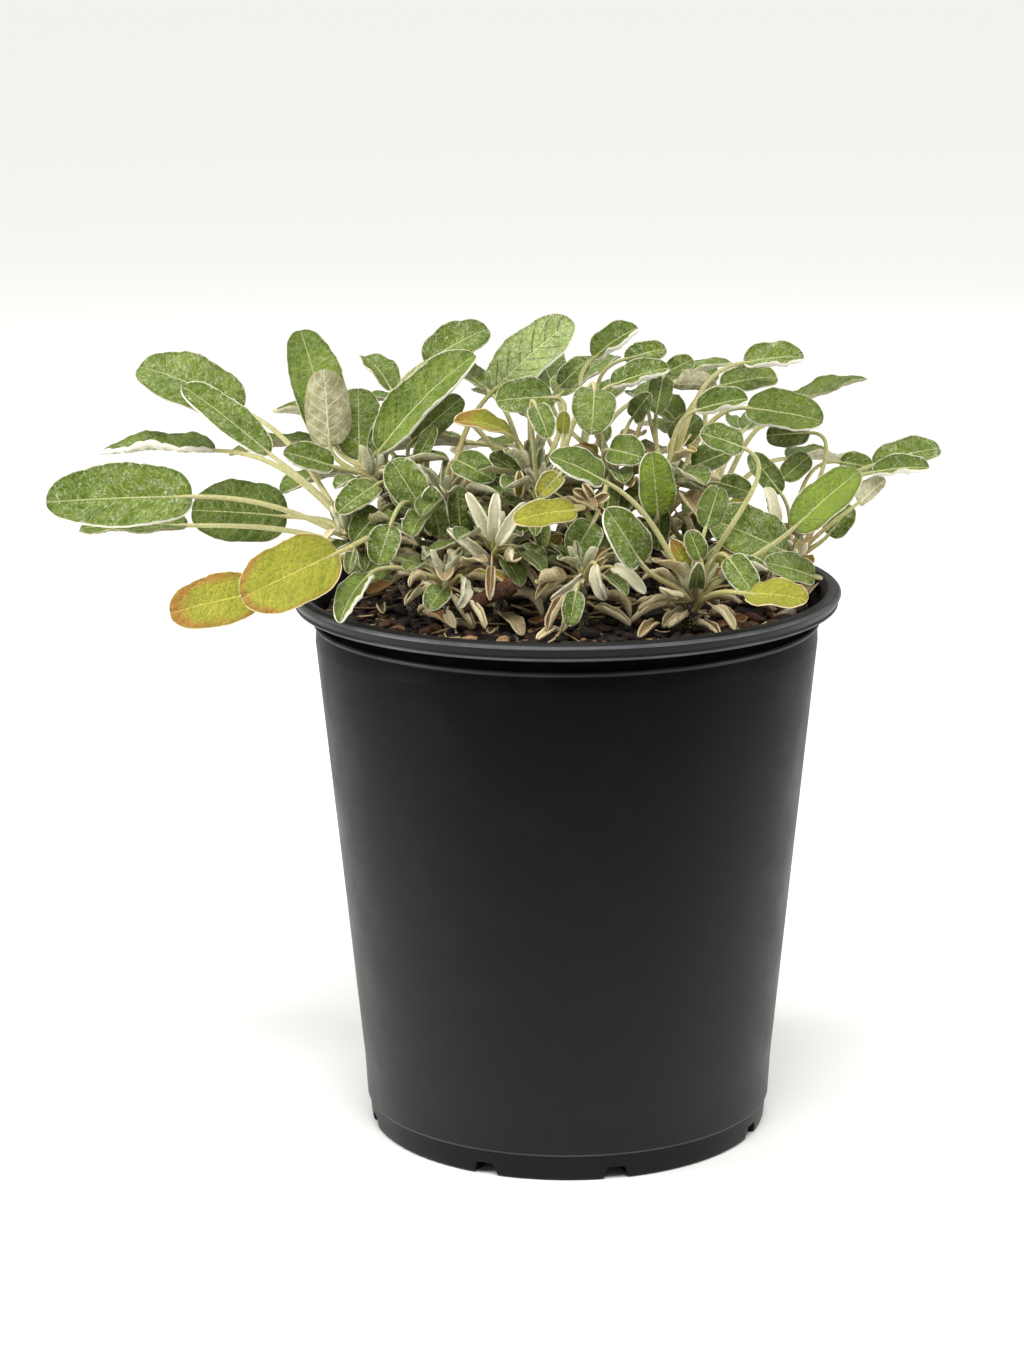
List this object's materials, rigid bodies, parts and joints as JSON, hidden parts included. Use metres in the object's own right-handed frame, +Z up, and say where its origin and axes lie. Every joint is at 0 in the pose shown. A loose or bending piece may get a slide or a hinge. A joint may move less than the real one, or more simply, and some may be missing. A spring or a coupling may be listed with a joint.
{
  "type": "potted red buckwheat",
  "caption": "Low clump of felted oval leaves on arching stalks, growing in soil in a tapered round nursery pot with a rolled rim and drain notches.",
  "frame": {"origin": "centre of the flat underside of the pot, where it stands", "axes": "+Z up along the pot's axis, the front towards -Y, +X to the right seen from the front"},
  "size_m": [0.2692, 0.1978, 0.2473],
  "materials": {
    "pot": "satin moulded black plastic",
    "soil": "dark bark and peat potting mix, matt",
    "foliage": "olive-green leaves with fine white hairs, matt",
    "autumn_leaf": "yellow leaves turning orange at the edge",
    "withered_leaf": "cream, dry, felted",
    "bark": "red-brown bark, matt",
    "dead_leaf": "dry brown leaf",
    "stone": "pale pebble"
  },
  "bodies": {
    "root": {"bark_chip": "bark", "bark_sliver": "bark", "dead_leaf": "dead_leaf", "dead_leaf_small": "dead_leaf", "orange_leaf_a1": "autumn_leaf", "pebble": "stone", "pebble_small": "stone", "pot": "pot", "shoot_a": "foliage", "shoot_b": "foliage", "shoot_c": "foliage", "shoot_d": "foliage", "shoot_e": "foliage", "shoot_f": "foliage", "shoot_g": "foliage", "shoot_h": "foliage", "shoot_j": "foliage", "shoot_k": "foliage", "shoot_l": "foliage", "shoot_m": "foliage", "shoot_n": "foliage", "shoot_p": "withered_leaf", "shoot_q": "withered_leaf", "soil": "soil", "yellow_leaf_a2": "autumn_leaf", "yellow_leaf_b1": "autumn_leaf", "yellow_leaf_f1": "autumn_leaf", "yellow_leaf_f2": "autumn_leaf"}
  },
  "joints": []
}
